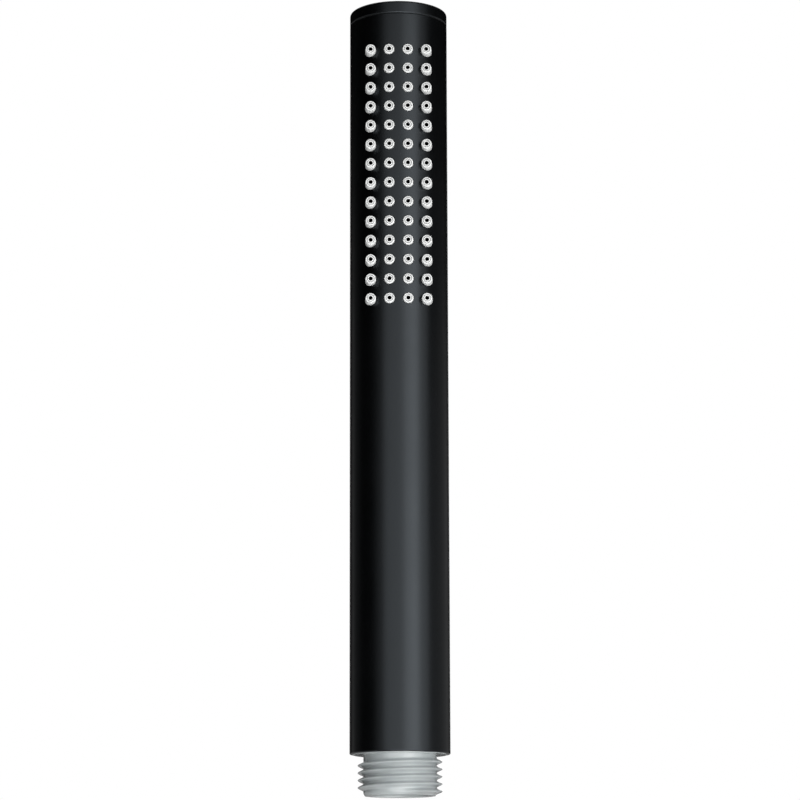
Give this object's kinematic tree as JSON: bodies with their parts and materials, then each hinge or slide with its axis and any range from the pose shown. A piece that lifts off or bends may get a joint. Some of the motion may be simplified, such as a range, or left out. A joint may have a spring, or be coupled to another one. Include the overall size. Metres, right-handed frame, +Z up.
{
  "type": "hand shower",
  "caption": "Straight stick hand shower: black metal tube with a field of soft nozzles near the top, flat end cap and a grey threaded hose inlet at the foot.",
  "frame": {"origin": "centre of the inlet's sealing end face", "axes": "+Z up along the stick from inlet to cap, -Y the way the jets leave, +X to the right of someone who faces the nozzles"},
  "size_m": [0.025, 0.0253, 0.201],
  "materials": {
    "black_metal": "fine satin black coat",
    "nozzle_silicone": "matt pale grey silicone",
    "inlet_plastic": "smooth moulded grey",
    "core_plastic": "moulded off-white",
    "seal_rubber": "matt",
    "limiter_plastic": "moulded pale grey",
    "strainer_steel": "bright screen"
  },
  "bodies": {
    "root": {"outer_tube": "black_metal", "top_cap": "black_metal", "nozzle_strip": "nozzle_silicone", "spray_core": "core_plastic", "core_seal": "seal_rubber", "inlet_connector": "inlet_plastic", "flow_limiter": "limiter_plastic", "inlet_strainer": "strainer_steel"}
  },
  "joints": []
}
